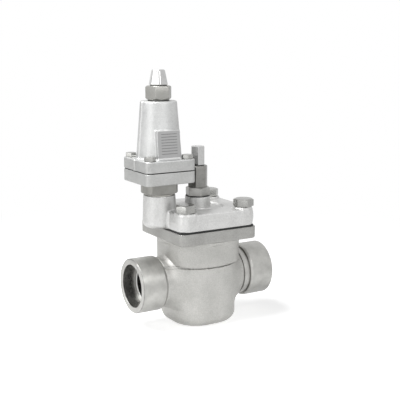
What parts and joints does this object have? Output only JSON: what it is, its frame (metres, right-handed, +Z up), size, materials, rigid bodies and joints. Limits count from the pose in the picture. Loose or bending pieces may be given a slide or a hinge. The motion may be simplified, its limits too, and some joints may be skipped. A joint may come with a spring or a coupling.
{
  "type": "pilot-operated pressure regulating valve",
  "caption": "Flanged-cover pressure regulating valve with socket-weld ends, a spring-loaded diaphragm pilot on its cover and a capped hand-opening spindle.",
  "frame": {"origin": "centre of the flat under the bowl", "axes": "+X from the inlet to the outlet along the pipe axis; +Y to the rear, away from the label pad; +Z up along the bowl's and the hand spindle's axis"},
  "size_m": [0.152, 0.0888, 0.257],
  "materials": {
    "valve_body": "bead-blasted cast stainless steel, warm light grey",
    "module_cylinder": "fine-turned steel",
    "module_upper_oring": "black elastomer, matt",
    "module_lower_oring": "black elastomer, matt",
    "main_piston": "fine-turned steel",
    "piston_ring": "white seal plastic",
    "piston_stem": "ground steel",
    "piston_nut": "machined steel",
    "throttle_cone": "fine-turned steel",
    "valve_plate": "white seal plastic",
    "cone_nut": "machined steel",
    "main_spring": "drawn spring steel",
    "cover_gasket": "black fibre gasket, matt",
    "top_cover": "blasted cast stainless steel, pale grey",
    "cover_bolts": "stainless bolt, dull",
    "bushing_gasket": "black elastomer, matt",
    "spindle_bushing": "machined stainless steel",
    "spindle_foot": "fine-turned steel",
    "manual_spindle": "ground steel",
    "spindle_packing": "white seal plastic",
    "gland_nut": "machined steel, dull olive grey",
    "spindle_cap_gasket": "black elastomer, matt",
    "spindle_cap": "bright plated steel",
    "pilot_gasket": "soft metal sealing ring",
    "pilot_oring": "black elastomer, matt",
    "pilot_body": "blasted stainless steel with machined nipple",
    "pilot_orifice": "turned bronze",
    "diaphragm_gasket": "black gasket, matt",
    "pilot_diaphragm": "thin spring steel",
    "pressure_plate": "turned steel",
    "setting_spring": "drawn spring steel",
    "spring_plate": "turned steel",
    "setting_spindle": "ground steel",
    "spring_housing": "blasted cast stainless steel, palest grey",
    "pilot_bolts": "stainless bolt, dull",
    "pilot_gland_gasket": "black gasket, matt",
    "pilot_gland": "machined steel, dull",
    "spindle_seal": "black elastomer, matt",
    "pilot_cap_gasket": "black elastomer, matt",
    "pilot_cap": "bright plated steel"
  },
  "bodies": {
    "valve": {"valve_body": "valve_body", "module_cylinder": "module_cylinder", "module_upper_oring": "module_upper_oring", "module_lower_oring": "module_lower_oring", "main_spring": "main_spring", "cover_gasket": "cover_gasket", "top_cover": "top_cover", "cover_bolts": "cover_bolts", "bushing_gasket": "bushing_gasket", "spindle_bushing": "spindle_bushing", "spindle_packing": "spindle_packing", "gland_nut": "gland_nut", "spindle_cap_gasket": "spindle_cap_gasket", "pilot_gasket": "pilot_gasket", "pilot_oring": "pilot_oring", "pilot_body": "pilot_body", "pilot_orifice": "pilot_orifice", "diaphragm_gasket": "diaphragm_gasket", "pilot_diaphragm": "pilot_diaphragm", "setting_spring": "setting_spring", "spring_housing": "spring_housing", "pilot_bolts": "pilot_bolts", "pilot_gland_gasket": "pilot_gland_gasket", "pilot_gland": "pilot_gland", "spindle_seal": "spindle_seal", "pilot_cap_gasket": "pilot_cap_gasket"},
    "piston": {"main_piston": "main_piston", "piston_ring": "piston_ring", "piston_stem": "piston_stem", "piston_nut": "piston_nut", "throttle_cone": "throttle_cone", "valve_plate": "valve_plate", "cone_nut": "cone_nut"},
    "foot": {"spindle_foot": "spindle_foot"},
    "hand_spindle": {"manual_spindle": "manual_spindle"},
    "spindle_cap": {"spindle_cap": "spindle_cap"},
    "plate": {"pressure_plate": "pressure_plate"},
    "spring_plate": {"spring_plate": "spring_plate"},
    "setting": {"setting_spindle": "setting_spindle"},
    "pilot_cap": {"pilot_cap": "pilot_cap"}
  },
  "joints": [
    {"name": "piston_stroke", "type": "slide", "parent": "valve", "child": "piston", "axis": [0, 0, -1], "range_m": [0, 0.01], "stiffness_N_per_m": 2000, "springref_m": -0.01, "deforming": ["main_spring"]},
    {"name": "foot_slide", "type": "slide", "parent": "valve", "child": "foot", "axis": [0, 0, -1], "range_m": [0, 0.01]},
    {"name": "hand_spindle_turn", "type": "hinge", "parent": "foot", "child": "hand_spindle", "pos_m": [0, 0, 0.108], "axis": [0, 0, -1], "range_deg": [0, 2401]},
    {"name": "spindle_cap_lift", "type": "slide", "parent": "valve", "child": "spindle_cap", "axis": [0, 0, 1], "range_m": [0, 0.03]},
    {"name": "plate_lift", "type": "slide", "parent": "valve", "child": "plate", "axis": [0, 0, 1], "range_m": [0, 0.001], "stiffness_N_per_m": 3000, "springref_m": -0.003, "deforming": ["pilot_diaphragm"]},
    {"name": "spring_plate_slide", "type": "slide", "parent": "valve", "child": "spring_plate", "axis": [0, 0, -1], "range_m": [0, 0.01], "deforming": ["setting_spring"]},
    {"name": "setting_spindle_turn", "type": "hinge", "parent": "spring_plate", "child": "setting", "pos_m": [-0.04419, 0, 0.21], "axis": [0, 0, -1], "range_deg": [0, 2401]},
    {"name": "pilot_cap_lift", "type": "slide", "parent": "valve", "child": "pilot_cap", "axis": [0, 0, 1], "range_m": [0, 0.03]}
  ],
  "couplings": [
    {"joint": "hand_spindle_turn", "follows": "foot_slide", "rad_per_m": 4188.8},
    {"joint": "setting_spindle_turn", "follows": "spring_plate_slide", "rad_per_m": 4188.8}
  ]
}
